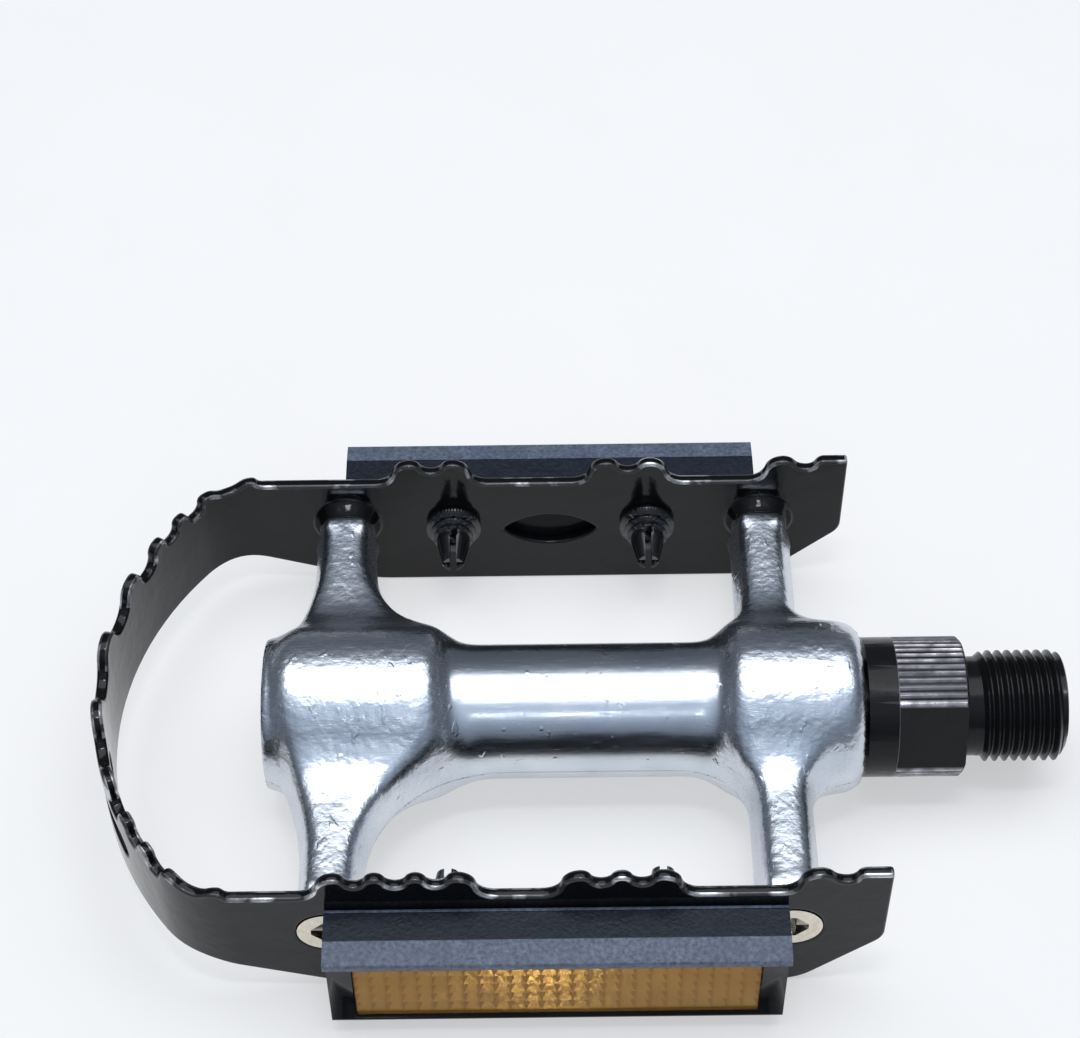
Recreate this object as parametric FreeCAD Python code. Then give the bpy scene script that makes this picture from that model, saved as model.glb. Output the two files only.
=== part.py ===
import FreeCAD, Part
import math
import os
from FreeCAD import Vector

# Cage pedal of a bicycle, the right-hand one: a cast body in a toothed steel cage, with a
# reflector on each long side, turning on a spindle with two rings of loose balls.
# X runs along the spindle towards the crank, Y to the rear and Z up, in millimetres.
# The origin is the middle of the spindle's shoulder, where the crank's face stops.

# Spindle outside the body
thread_diameter = 14.29
thread_length = 11.0
thread_end_round = 1.3
relief_length = 2.0
relief_depth = 0.75
collar_diameter = 18.0
collar_length = 12.6
collar_chamfer = 0.5
flats_across = 15.0
flats_length = 8.8
flats_tilt = 22.0
flute_angle = 6.5
flute_depth = 0.35

# Bearings
ball_diameter = 3.175
inboard_ball_count = 11
outboard_ball_count = 10
inboard_pitch_radius = 6.2
outboard_pitch_radius = 5.8
race_clearance = 0.1
cup_wall = 1.0
cup_lip = 1.2
cup_shoulder = 1.1
cup_mouth = 1.4
inboard_ball_depth = 4.3
outboard_ball_offset = 6.0
seal_thickness = 1.8
seal_recess = 0.4
seal_clearance = 0.3
shaft_clearance = 0.6

# Outer end of the spindle
end_thread_diameter = 6.0
cone_flange = 1.4
cone_hexagon_length = 2.6
cone_nose = 1.2
hexagon_across = 10.0
washer_thickness = 1.2
washer_diameter = 10.6
locknut_thickness = 3.6
locknut_chamfer = 0.4
end_projection = 0.8
key_width = 1.8
key_depth = 0.8
thread_clearance = 0.05
cap_wall = 1.2
cap_skirt = 3.0
cap_recess = 0.4
cap_dish_depth = 0.5
cap_dish_radius = 5.0

# Cast body
face_gap = 0.5
boss_radius = 11.4
barrel_radius = 8.7
inboard_boss_length = 16.35
outboard_boss_inner = 12.0
outboard_boss_outer = 9.2
inboard_flare = 4.0
outboard_flare = 6.0
inboard_arm_inset = 10.85
arm_spacing = 56.0
arm_rise = 0.8
post_top = 4.4
post_bottom = 3.9
post_reach = 4.4
post_blend = 9.0
arm_edge_round = 1.0
boss_end_round = 1.6
boss_inset = 0.3
side_draft = 1.7
parting_level = -1.5
boss_steps = 3
fillet_steps = 6
loft_degree = 3
outboard_fillet = 16.0
outboard_top_edge = 12.4
outboard_end_flat = 1.0
outboard_end_taper = 23.0
outboard_end_radius = 9.6
outboard_cone_start = 3.0
inboard_fillet = 7.5
inboard_top_edge = 5.5
inboard_face_flat = 8.0
inboard_top_flat = 4.5
inboard_face_taper = 14.5
fit_clearance = 0.02

# Cage strip
cage_width = 66.0
cage_length = 98.0
cage_end_reach = 11.35
strip = 1.5
corner_radius = 12.0
end_radius = 45.0
land_height = 8.2
tooth_height = 3.8
tooth_valley = 1.6
tooth_flank = 4.6
front_pitch = 4.85
rear_pitch = 5.7
front_group_starts = (1.3, 30.5)
front_group_counts = (4, 3)
rear_group_starts = (8.8, 35.2)
rear_group_counts = (2, 2)
end_flat_tooth = 3.1
end_notch = 5.4
end_peak = 8.6
bend_height = 9.0
bend_teeth = (5.5, 16.0, 23.0, 28.0, 33.0, 40.0)
bend_depths = (3.3, 3.3, 3.0, 2.0, 2.0, 1.0)
bend_flank = 5.4
bend_tooth_flat = 0.5
plate_bottom = -11.7
end_bottom = -5.5
rise_start = 3.0
rise_end = 15.0
rise_round = 14.0
end_side_low = -2.0
end_side_round = 3.0
end_slope = 10.0
end_slope_round = 6.0

# Holes in the cage
eye_width = 12.8
eye_height = 5.8
eye_drop = 1.2
keyhole_width = 13.6
keyhole_slot = 4.2
keyhole_round = 6.8
keyhole_drop = 0.9
bend_slot_station = -15.3
bend_slot_length = 15.0
bend_slot_height = 4.5
bend_slot_level = 1.5

# Cage screws, one at the end of each arm
screw_diameter = 4.0
screw_head_diameter = 7.4
screw_length = 12.0
screw_clearance = 0.15
screw_hole_spare = 1.0
cross_length = 4.0
cross_width = 0.95
cross_depth = 1.5
dimple_depth = 2.0
dimple_wall = 1.3
dimple_taper = 1.4

# Reflectors
reflector_shift = -0.4
visor_length = 55.3
box_length = 54.8
housing_top = 6.5
housing_bottom = -9.4
crease_reach = 4.6
visor_reach = 7.8
visor_drop = 0.6
visor_lip = 1.0
box_reach = 6.6
housing_round = 0.9
visor_round = 0.3
lens_length = 48.8
lens_top = 3.9
lens_bottom = -8.2
lens_thickness = 2.6
lens_recess = 0.4
lens_round = 0.5
lens_clearance = 0.05
peg_spacing = 26.4
peg_level = 0.0
peg_diameter = 4.6
peg_clearance = 0.1
peg_ring_diameter = 7.4
peg_ring_height = 1.0
peg_rib_diameter = 6.2
peg_rib_height = 0.4
peg_rib_gap = 0.4
peg_rib_count = 2
peg_rib_step = 0.4
peg_tip_length = 4.0
peg_tip_diameter = 2.8
peg_slit = 0.9

# Sizes that follow, with the length by which a cutter overshoots the face that it opens
cut_spare = 1.0
x_axis = Vector(1, 0, 0)
ball_radius = ball_diameter / 2
race_radius = ball_radius + race_clearance
thread_radius = thread_diameter / 2
collar_radius = collar_diameter / 2
face_x = -(collar_length + face_gap)
inboard_ball_x = face_x - inboard_ball_depth
inboard_arm_x = face_x - inboard_arm_inset
outboard_arm_x = inboard_arm_x - arm_spacing
reflector_x = (inboard_arm_x + outboard_arm_x) / 2 + reflector_shift
body_end_x = outboard_arm_x - outboard_boss_outer
outboard_ball_x = outboard_arm_x + outboard_ball_offset
inboard_pocket = inboard_pitch_radius + race_radius + cup_wall + fit_clearance
outboard_pocket = outboard_pitch_radius + race_radius + cup_wall + fit_clearance
inboard_shaft = inboard_pitch_radius - race_radius
barrel_bore = inboard_shaft + shaft_clearance
end_thread = end_thread_diameter / 2
cone_left_x = outboard_ball_x - race_radius - cone_flange - cone_hexagon_length
washer_left_x = cone_left_x - washer_thickness
locknut_left_x = washer_left_x - locknut_thickness
spindle_end_x = locknut_left_x - end_projection
half_width = cage_width / 2
inner_face = half_width - strip
post_end = inner_face - dimple_depth
cage_end_x = inboard_arm_x + cage_end_reach
cage_tip_x = cage_end_x - cage_length
tooth_top = land_height + tooth_height
end_centre_x = cage_tip_x + end_radius
corner_centre_y = half_width - corner_radius
corner_centre_x = end_centre_x - math.sqrt((end_radius - corner_radius) ** 2 - corner_centre_y ** 2)
bend_angle = math.atan2(corner_centre_y, end_centre_x - corner_centre_x)


def at_xy(x, y):
    return Vector(x, y, 0)


def at_xz(x, z):
    return Vector(x, 0, z)


def at_yz(y, z):
    return Vector(0, y, z)


def polar(centre, radius, angle):
    return (centre[0] + radius * math.cos(angle), centre[1] + radius * math.sin(angle))


def line(at, start, end):
    return Part.LineSegment(at(*start), at(*end)).toShape()


def arc(at, start, middle, end):
    return Part.Arc(at(*start), at(*middle), at(*end)).toShape()


def face_of(edges):
    return Part.Face(Part.Wire(Part.sortEdges(edges)[0]))


def rounded_edges(at, corners):
    """Closed outline through corners (a, b, radius), each turned by an arc of its radius."""
    turns = []
    for index, (a, b, radius) in enumerate(corners):
        here = Vector(a, b, 0)
        back = Vector(corners[index - 1][0], corners[index - 1][1], 0) - here
        ahead_corner = corners[(index + 1) % len(corners)]
        ahead = Vector(ahead_corner[0], ahead_corner[1], 0) - here
        back.normalize()
        ahead.normalize()
        half = back.getAngle(ahead) / 2
        start = here + back * (radius / math.tan(half))
        end = here + ahead * (radius / math.tan(half))
        inward = back + ahead
        if radius > 0:
            inward.normalize()
        middle = here + inward * (radius / math.sin(half) - radius)
        turns.append((start, middle, end, radius))
    edges = []
    for index, (start, middle, end, radius) in enumerate(turns):
        previous = turns[index - 1][2]
        edges.append(line(at, (previous.x, previous.y), (start.x, start.y)))
        if radius > 0:
            edges.append(arc(at, (start.x, start.y), (middle.x, middle.y), (end.x, end.y)))
    return edges


def flank_edges(at, start, end):
    """Two equal arcs that leave start level and reach end level, one hollow and one round."""
    run = end[0] - start[0]
    rise = end[1] - start[1]
    if abs(rise) < 1e-6:
        return [line(at, start, end)]
    radius = (run * run + rise * rise) / (4 * abs(rise))
    turn = math.asin(run / 2 / radius) / 2
    reach = radius * math.sin(turn)
    drop = math.copysign(radius - radius * math.cos(turn), rise)
    centre = ((start[0] + end[0]) / 2, (start[1] + end[1]) / 2)
    first = arc(at, start, (start[0] + reach, start[1] + drop), centre)
    second = arc(at, centre, (end[0] - reach, end[1] - drop), end)
    return [first, second]


def chain_edges(at, points):
    return [line(at, start, end) for start, end in zip(points, points[1:])]


def slot_edges(at, centre, length, height):
    """Outline of a slot with round ends, level along the first of its two axes."""
    half = height / 2
    left = centre[0] - length / 2 + half
    right = centre[0] + length / 2 - half
    low = centre[1] - half
    high = centre[1] + half
    right_end = arc(at, (right, low), (right + half, centre[1]), (right, high))
    left_end = arc(at, (left, high), (left - half, centre[1]), (left, low))
    return [line(at, (left, low), (right, low)), right_end, line(at, (right, high), (left, high)), left_end]


def level_edges(at, points):
    edges = []
    for start, end in zip(points, points[1:]):
        edges += flank_edges(at, start, end)
    return edges


def turned(edges):
    """Solid turned about the spindle axis from a closed profile of (x, radius) edges."""
    return face_of(edges).revolve(Vector(0, 0, 0), x_axis, 360)


def turned_points(points):
    return turned(rounded_edges(at_xz, [(x, radius, 0) for x, radius in points]))


def box(x_range, y_range, z_range):
    size = [high - low for low, high in (x_range, y_range, z_range)]
    return Part.makeBox(*size, Vector(x_range[0], y_range[0], z_range[0]))


def cylinder_x(radius, x_low, x_high):
    return Part.makeCylinder(radius, x_high - x_low, Vector(x_low, 0, 0), x_axis)


def hexagon_x(across, x_low, x_high):
    corners = []
    for step in range(7):
        y, z = polar((0, 0), across / math.sqrt(3), math.radians(60 * step))
        corners.append(Vector(x_low, y, z))
    return Part.Face(Part.makePolygon(corners)).extrude(Vector(x_high - x_low, 0, 0))


def save(shape, name):
    shape.exportStep("parts/" + name + ".step")
    print(name, len(shape.Solids), "solids", round(shape.Volume), "mm3", shape.isValid())


# Spindle: turned in one piece, with its inboard race, wrench flats, flutes and key groove
def spindle_shape():
    neck = thread_radius - relief_depth
    thread_end = relief_length + thread_length
    land_x = inboard_ball_x + race_radius
    step_x = outboard_ball_x + cone_nose + cone_flange
    tip = thread_radius - thread_end_round
    chain = [
        (spindle_end_x, 0), (spindle_end_x, end_thread - key_depth / 2),
        (spindle_end_x + key_depth / 2, end_thread), (step_x, end_thread),
        (step_x, inboard_shaft - key_depth), (inboard_ball_x - cup_mouth - cup_lip, inboard_shaft),
        (inboard_ball_x, inboard_shaft)]
    race_middle = polar((inboard_ball_x, inboard_pitch_radius), race_radius, -math.pi / 4)
    race_end = (land_x, inboard_pitch_radius)
    rest = [
        race_end, (-collar_length, inboard_pitch_radius), (-collar_length, collar_radius),
        (-collar_chamfer, collar_radius), (0, collar_radius - collar_chamfer), (0, neck),
        (relief_length, neck), (relief_length, thread_radius), (thread_end - thread_end_round, thread_radius)]
    end_middle = polar((thread_end - thread_end_round, tip), thread_end_round, math.pi / 4)
    edges = chain_edges(at_xz, chain)
    edges.append(arc(at_xz, chain[-1], race_middle, race_end))
    edges += chain_edges(at_xz, rest)
    edges.append(arc(at_xz, rest[-1], end_middle, (thread_end, tip)))
    edges.append(line(at_xz, (thread_end, tip), (thread_end, 0)))
    edges.append(line(at_xz, (thread_end, 0), chain[0]))
    shape = turned(edges)
    flats = []
    for side in (-1, 1):
        y_range = sorted((side * flats_across / 2, side * collar_diameter))
        flats.append(box((-flats_length, 0), y_range, (-collar_diameter, collar_diameter)))
    cutters = flats + flute_cutters()
    for cutter in cutters:
        cutter.rotate(Vector(0, 0, 0), x_axis, -flats_tilt)
    key_depths = (end_thread - key_depth, collar_radius)
    key = box((spindle_end_x, cone_left_x), (-key_width / 2, key_width / 2), key_depths)
    return shape.cut(Part.makeCompound(cutters + [key]))


def flute_cutters():
    """V grooves along the collar, on the round stretches between the wrench flats."""
    half_open = math.degrees(math.asin(flats_across / collar_diameter))
    count = int(2 * half_open / flute_angle)
    half_pitch = math.radians(flute_angle) * collar_radius / 2
    cutters = []
    for side in (90, 270):
        for index in range(count):
            angle = side + (index - (count - 1) / 2) * flute_angle
            root = Vector(0, collar_radius - flute_depth, 0)
            left = Vector(0, collar_radius + flute_depth, -2 * half_pitch)
            right = Vector(0, collar_radius + flute_depth, 2 * half_pitch)
            outline = Part.makePolygon([root, left, right, root])
            groove = Part.Face(outline).extrude(Vector(-flats_length, 0, 0))
            groove.rotate(Vector(0, 0, 0), x_axis, angle)
            cutters.append(groove)
    return cutters


# Cup: ring with a quarter-round race, its mouth towards mouth_sign along X
def cup_shape(ball_x, pitch_radius, mouth_sign):
    outside = pitch_radius + race_radius + cup_wall
    top = (ball_x, pitch_radius + race_radius)
    side = (ball_x - mouth_sign * race_radius, pitch_radius)
    middle_angle = math.pi / 2 + mouth_sign * math.pi / 4
    middle = polar((ball_x, pitch_radius), race_radius, middle_angle)
    mouth_x = ball_x + mouth_sign * cup_mouth
    back_x = side[0] - mouth_sign * cup_shoulder
    lip = pitch_radius - cup_lip / 2
    chain = [
        side, (side[0], lip), (back_x, lip), (back_x, outside), (mouth_x, outside), (mouth_x, top[1]), top]
    edges = chain_edges(at_xz, chain)
    edges.append(arc(at_xz, top, middle, side))
    return turned(edges)


def ball_shapes(ball_x, pitch_radius, count):
    balls = []
    for index in range(count):
        y, z = polar((0, 0), pitch_radius, 2 * math.pi * index / count)
        balls.append(Part.makeSphere(ball_radius, Vector(ball_x, y, z)))
    return balls


def seal_shape():
    outer_x = face_x - seal_recess
    inside = inboard_pitch_radius + seal_clearance
    return turned_points([
        (outer_x, inside), (outer_x, inboard_pocket - fit_clearance),
        (outer_x - seal_thickness, inboard_pocket - fit_clearance), (outer_x - seal_thickness, inside)])


def adjusting_cone_shape():
    pitch = outboard_pitch_radius
    bore = end_thread + thread_clearance
    bottom = (outboard_ball_x, pitch - race_radius)
    side = (outboard_ball_x - race_radius, pitch)
    middle = polar((outboard_ball_x, pitch), race_radius, -3 * math.pi / 4)
    flange_x = side[0] - cone_flange
    nose_x = outboard_ball_x + cone_nose
    chain = [side, (flange_x, pitch), (flange_x, bore), (nose_x, bore), (nose_x, bottom[1]), bottom]
    edges = chain_edges(at_xz, chain)
    edges.append(arc(at_xz, bottom, middle, side))
    hexagon = hexagon_x(hexagon_across, cone_left_x, flange_x)
    hexagon = hexagon.cut(cylinder_x(bore, cone_left_x - cut_spare, flange_x + cut_spare))
    return turned(edges).fuse(hexagon).removeSplitter()


def lock_washer_shape():
    bore = end_thread + thread_clearance
    ring = cylinder_x(washer_diameter / 2, washer_left_x, cone_left_x)
    ring = ring.cut(cylinder_x(bore, washer_left_x - cut_spare, cone_left_x + cut_spare))
    half = key_width / 2 - thread_clearance
    low = end_thread - key_depth + thread_clearance
    tab = box((washer_left_x, cone_left_x), (-half, half), (low, washer_diameter / 2 - thread_clearance))
    return ring.fuse(tab).removeSplitter()


def locknut_shape():
    bore = end_thread + thread_clearance
    corner = hexagon_across / math.sqrt(3)
    shoulder = corner - locknut_chamfer
    turned_limit = turned_points([
        (washer_left_x, bore), (washer_left_x, shoulder), (washer_left_x - locknut_chamfer, corner),
        (locknut_left_x + locknut_chamfer, corner), (locknut_left_x, shoulder), (locknut_left_x, bore)])
    return hexagon_x(hexagon_across, locknut_left_x, washer_left_x).common(turned_limit)


def dust_cap_shape():
    outside = outboard_pocket - fit_clearance
    left = body_end_x + cap_recess
    inside = left + cap_wall
    rim = cap_dish_radius + cap_dish_depth
    return turned_points([
        (left + cap_dish_depth, 0), (left + cap_dish_depth, cap_dish_radius), (left, rim),
        (left, outside), (left + cap_skirt, outside), (left + cap_skirt, outside - cap_wall),
        (inside, outside - cap_wall), (inside, rim),
        (inside + cap_dish_depth, cap_dish_radius), (inside + cap_dish_depth, 0)])


# Body: an H casting, two lofted cross arms with a parting line at mid height, and a turned barrel
def blend_foot(level):
    """Distance from the spindle at which the hollow blend of a boss runs out into its post."""
    return math.sqrt((boss_radius + post_blend) ** 2 - (level + post_blend) ** 2)


def arm_height(y, level):
    """Half height of a cross arm at a distance from the spindle: boss, hollow blend, then post."""
    blend_y = blend_foot(level)
    touch_y = blend_y * boss_radius / (boss_radius + post_blend)
    if abs(y) <= touch_y:
        return math.sqrt(boss_radius ** 2 - y ** 2)
    if abs(y) < blend_y:
        return level + post_blend - math.sqrt(post_blend ** 2 - (blend_y - abs(y)) ** 2)
    return level


def eased(y, flat, taper_end, boss_reach, post_end_reach):
    """Distance from the arm's axis to its side: the boss's reach, eased down to the post's."""
    share = min(max((abs(y) - flat) / (taper_end - flat), 0), 1)
    return boss_reach + (post_end_reach - boss_reach) * (1 - math.cos(math.pi * share)) / 2


def filleted(y, fillet):
    """Distance from the arm's axis to a side that a plan fillet joins to the barrel."""
    along = min(max(abs(y) - barrel_radius, 0), fillet)
    return post_reach + fillet - math.sqrt(fillet ** 2 - (fillet - along) ** 2)


# Each side of an arm gives its reach at the parting line and at the top edge
def outboard_end_side(y):
    boss_reach = outboard_boss_outer - boss_inset
    parting = eased(y, outboard_end_flat, outboard_end_taper, boss_reach, post_reach)
    return parting, parting - side_draft


def outboard_barrel_side(y):
    parting = filleted(y, outboard_fillet)
    return parting, min(outboard_top_edge, parting - side_draft)


def inboard_barrel_side(y):
    parting = filleted(y, inboard_fillet)
    return parting, min(inboard_top_edge, parting - side_draft)


def inboard_face_side(y):
    face_reach = face_x - inboard_arm_x - boss_inset
    parting = eased(y, inboard_face_flat, inboard_face_taper, face_reach, post_reach)
    top_reach = face_reach - boss_inset
    return parting, eased(y, inboard_top_flat, inboard_face_taper, top_reach, post_reach - side_draft)


def arm_section(axis_x, left_side, right_side, y):
    """Rounded section across one arm, widest at the parting line and drafted above and below it."""
    def at_station(x, z):
        return Vector(x, y, z)

    left, left_top = left_side(y)
    right, right_top = right_side(y)
    top = arm_height(y, post_top)
    bottom = arm_height(y, post_bottom)
    corners = [
        (axis_x + right, parting_level, 0), (axis_x + right_top, top, arm_edge_round),
        (axis_x - left_top, top, arm_edge_round), (axis_x - left, parting_level, 0),
        (axis_x - left_top, -bottom, arm_edge_round), (axis_x + right_top, -bottom, arm_edge_round)]
    return Part.Wire(rounded_edges(at_station, corners))


def cross_arm_shapes(axis_x, left_side, right_side, fillet):
    """Each half lofted over the boss and along the fillet, then carried on by a straight post."""
    straight_y = max(barrel_radius + fillet, blend_foot(post_bottom))
    over_boss = [barrel_radius * step / boss_steps for step in range(boss_steps + 1)]
    along_fillet = []
    for step in range(fillet_steps + 1):
        turn = math.pi / 2 * step / fillet_steps
        along_fillet.append(barrel_radius + (straight_y - barrel_radius) * (1 - math.cos(turn)))
    pieces = []
    for side in (-1, 1):
        for stations in (over_boss, along_fillet):
            sections = [arm_section(axis_x, left_side, right_side, side * y) for y in stations]
            pieces.append(Part.makeLoft(sections, True, False, False, loft_degree))
        pieces.append(Part.Face(sections[-1]).extrude(Vector(0, side * (post_end - straight_y), 0)))
    return pieces


def barrel_shape():
    """Turned middle of the body: a boss at each end, the outboard one coned, and the barrel between."""
    radius = boss_radius - boss_inset
    left = body_end_x
    cone_x = outboard_arm_x - outboard_cone_start
    right = face_x
    fall = radius - barrel_radius
    outboard_edge = outboard_arm_x + outboard_boss_inner - boss_inset
    inboard_edge = face_x - inboard_boss_length + boss_inset
    edges = []
    flare_ends = []
    for edge_x, flare, sign in ((outboard_edge, outboard_flare, 1), (inboard_edge, inboard_flare, -1)):
        foot_x = edge_x + sign * math.sqrt(flare ** 2 - (flare - fall) ** 2)
        lean = math.acos((flare - fall) / flare) / 2
        middle = (foot_x - sign * flare * math.sin(lean), barrel_radius + flare - flare * math.cos(lean))
        edges.append(arc(at_xz, (edge_x, radius), middle, (foot_x, barrel_radius)))
        flare_ends.append((foot_x, barrel_radius))
    end = radius - boss_end_round
    slope = boss_end_round * math.sin(math.pi / 4)
    right_middle = (right - boss_end_round + slope, end + slope)
    edges.append(line(at_xz, (left, outboard_end_radius), (cone_x, radius)))
    edges.append(line(at_xz, (cone_x, radius), (outboard_edge, radius)))
    edges.append(line(at_xz, flare_ends[0], flare_ends[1]))
    edges.append(line(at_xz, (inboard_edge, radius), (right - boss_end_round, radius)))
    edges.append(arc(at_xz, (right - boss_end_round, radius), right_middle, (right, end)))
    edges.append(line(at_xz, (right, end), (right, 0)))
    edges.append(line(at_xz, (right, 0), (left, 0)))
    edges.append(line(at_xz, (left, 0), (left, outboard_end_radius)))
    return turned(edges)


def body_shape():
    arms = cross_arm_shapes(inboard_arm_x, inboard_barrel_side, inboard_face_side, inboard_fillet)
    arms += cross_arm_shapes(outboard_arm_x, outboard_end_side, outboard_barrel_side, outboard_fillet)
    shape = barrel_shape().multiFuse(arms)
    inboard_shoulder = inboard_ball_x - race_radius - cup_shoulder
    outboard_shoulder = outboard_ball_x + race_radius + cup_shoulder
    bores = [
        cylinder_x(barrel_bore, body_end_x, face_x),
        cylinder_x(inboard_pocket, inboard_shoulder, face_x + cut_spare),
        cylinder_x(outboard_pocket, body_end_x - cut_spare, outboard_shoulder)]
    hole_depth = screw_length - (half_width - post_end) + screw_hole_spare
    for x, side in arm_ends():
        start = Vector(x, side * post_end, arm_rise)
        radius = screw_diameter / 2 + thread_clearance
        bores.append(Part.makeCylinder(radius, hole_depth, start, Vector(0, -side, 0)))
    return shape.cut(Part.makeCompound(bores)).removeSplitter()


def arm_ends():
    return [(x, side) for x in (inboard_arm_x, outboard_arm_x) for side in (-1, 1)]


# Cage: one strip bent round the outer end, with its edges cut to the tooth profile
def strip_edges(inset):
    """The strip's plan from the front crank end round the outer end to the rear crank end."""
    edges = []
    joints = {}
    corner = corner_radius - inset
    end = end_radius - inset
    for side in (-1, 1):
        wall = side * (half_width - inset)
        centre = (corner_centre_x, side * corner_centre_y)
        start = (cage_end_x, wall)
        bend = (corner_centre_x, wall)
        middle = polar(centre, corner, math.pi - side * (bend_angle + math.pi / 2) / 2)
        joint = polar((end_centre_x, 0), end, math.pi - side * bend_angle)
        edges.append(line(at_xy, start, bend))
        edges.append(arc(at_xy, bend, middle, joint))
        joints[side] = joint
    edges.append(arc(at_xy, joints[-1], (end_centre_x - end, 0), joints[1]))
    return edges


def strip_blank():
    ends = []
    for side in (-1, 1):
        ends.append(line(at_xy, (cage_end_x, side * half_width), (cage_end_x, side * inner_face)))
    plan = face_of(strip_edges(0) + strip_edges(strip) + ends)
    height = tooth_top - plate_bottom
    blank = plan.extrude(Vector(0, 0, height))
    blank.translate(Vector(0, 0, plate_bottom))
    return blank


def tooth_points(starts, counts, pitch):
    """Level points of a plate's top edge: lands, peaks and valleys, from the outer end inwards."""
    points = [(cage_tip_x - strip, bend_height), (corner_centre_x - strip, bend_height),
              (corner_centre_x, land_height)]
    for first, count in zip(starts, counts):
        start = outboard_arm_x + first
        points.append((start - tooth_flank, land_height))
        for index in range(count):
            if index > 0:
                points.append((start + (index - 0.5) * pitch, tooth_top - tooth_valley))
            points.append((start + index * pitch, tooth_top))
        points.append((start + (count - 1) * pitch + tooth_flank, land_height))
    points.append((cage_end_x - end_peak - tooth_flank, land_height))
    points.append((cage_end_x - end_peak, tooth_top))
    points.append((cage_end_x - end_notch, tooth_top - tooth_valley))
    points.append((cage_end_x - end_flat_tooth, tooth_top))
    points.append((cage_end_x + strip, tooth_top))
    return points


def above_teeth(starts, counts, pitch, side):
    points = tooth_points(starts, counts, pitch)
    roof = tooth_top + strip
    edges = level_edges(at_xz, points)
    edges.append(line(at_xz, points[-1], (points[-1][0], roof)))
    edges.append(line(at_xz, (points[-1][0], roof), (points[0][0], roof)))
    edges.append(line(at_xz, (points[0][0], roof), points[0]))
    return face_of(edges).extrude(Vector(0, side * cage_width, 0))


def below_strip():
    """What lies under the strip's bottom edge, as one prism across the whole cage."""
    rise_low = outboard_arm_x + rise_start
    rise_high = outboard_arm_x - rise_end
    slope_x = cage_end_x - end_slope
    floor = plate_bottom - strip
    roof = tooth_top + strip
    outer_x = cage_tip_x - strip
    crank_x = cage_end_x + strip
    corners = [
        (outer_x, floor, 0), (outer_x, end_bottom, 0), (rise_high, end_bottom, rise_round),
        (rise_low, plate_bottom, rise_round), (slope_x, plate_bottom, end_slope_round),
        (cage_end_x, end_side_low, end_side_round), (cage_end_x, roof, 0), (crank_x, roof, 0),
        (crank_x, floor, 0)]
    prism = face_of(rounded_edges(at_xz, corners)).extrude(Vector(0, 2 * cage_width, 0))
    prism.translate(Vector(0, -cage_width, 0))
    return prism


def bend_place(station):
    """Middle point of the strip and turn from -X, at a length round the bend from its middle."""
    side = math.copysign(1, station)
    length = abs(station)
    end_length = end_radius * bend_angle
    if length <= end_length:
        turn = length / end_radius
        point = polar((end_centre_x, 0), end_radius - strip / 2, math.pi - side * turn)
    else:
        turn = bend_angle + (length - end_length) / corner_radius
        centre = (corner_centre_x, side * corner_centre_y)
        point = polar(centre, corner_radius - strip / 2, math.pi - side * turn)
    return Vector(point[0], point[1], 0), -side * math.degrees(turn)


def set_on_bend(edges, station):
    """Cutter square to the strip from an outline drawn in the YZ plane about a bend station."""
    cutter = face_of(edges).extrude(Vector(4 * strip, 0, 0))
    cutter.translate(Vector(-2 * strip, 0, 0))
    point, turn = bend_place(station)
    cutter.rotate(Vector(0, 0, 0), Vector(0, 0, 1), turn)
    cutter.translate(point)
    return cutter


def bend_gaps():
    """Notches between the teeth of the bend, each cut square to the strip."""
    gaps = []
    spans = [(-bend_teeth[0], bend_teeth[0], bend_depths[0])]
    for index in range(1, len(bend_teeth)):
        spans.append((bend_teeth[index - 1], bend_teeth[index], bend_depths[index]))
        spans.append((-bend_teeth[index], -bend_teeth[index - 1], bend_depths[index]))
    for start, end, depth in spans:
        half = (end - start - bend_tooth_flat) / 2
        flank = min(bend_flank, half - bend_tooth_flat / 2)
        floor = bend_height - depth
        roof = tooth_top + strip
        points = [(-half, bend_height), (-half + flank, floor), (half - flank, floor), (half, bend_height)]
        edges = level_edges(at_yz, points)
        edges.append(line(at_yz, points[-1], (half, roof)))
        edges.append(line(at_yz, (half, roof), (-half, roof)))
        edges.append(line(at_yz, (-half, roof), points[0]))
        gaps.append(set_on_bend(edges, (start + end) / 2))
    return gaps


def bend_slot():
    edges = slot_edges(at_yz, (0, bend_slot_level), bend_slot_length, bend_slot_height)
    return set_on_bend(edges, bend_slot_station)


def plate_prism(edges, side):
    """Cutter through one long plate from an outline drawn in the XZ plane."""
    prism = face_of(edges).extrude(Vector(0, 2 * strip, 0))
    prism.translate(Vector(0, side * half_width - strip, 0))
    return prism


def eye_hole():
    left = (reflector_x - eye_width / 2, -eye_drop)
    right = (reflector_x + eye_width / 2, -eye_drop)
    top = (reflector_x, eye_height / 2 - eye_drop)
    bottom = (reflector_x, -eye_height / 2 - eye_drop)
    return plate_prism([arc(at_xz, left, top, right), arc(at_xz, right, bottom, left)], 1)


def keyhole():
    slot = plate_prism(slot_edges(at_xz, (reflector_x, 0), keyhole_width, keyhole_slot), -1)
    centre = Vector(reflector_x, -half_width - strip, -keyhole_drop)
    return slot.fuse(Part.makeCylinder(keyhole_round / 2, 2 * strip, centre, Vector(0, 1, 0)))


def peg_places():
    return [(reflector_x + sign * peg_spacing / 2, side) for sign in (-1, 1) for side in (-1, 1)]


def screw_seat_depth():
    return screw_head_diameter / 2 - screw_diameter / 2


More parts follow.
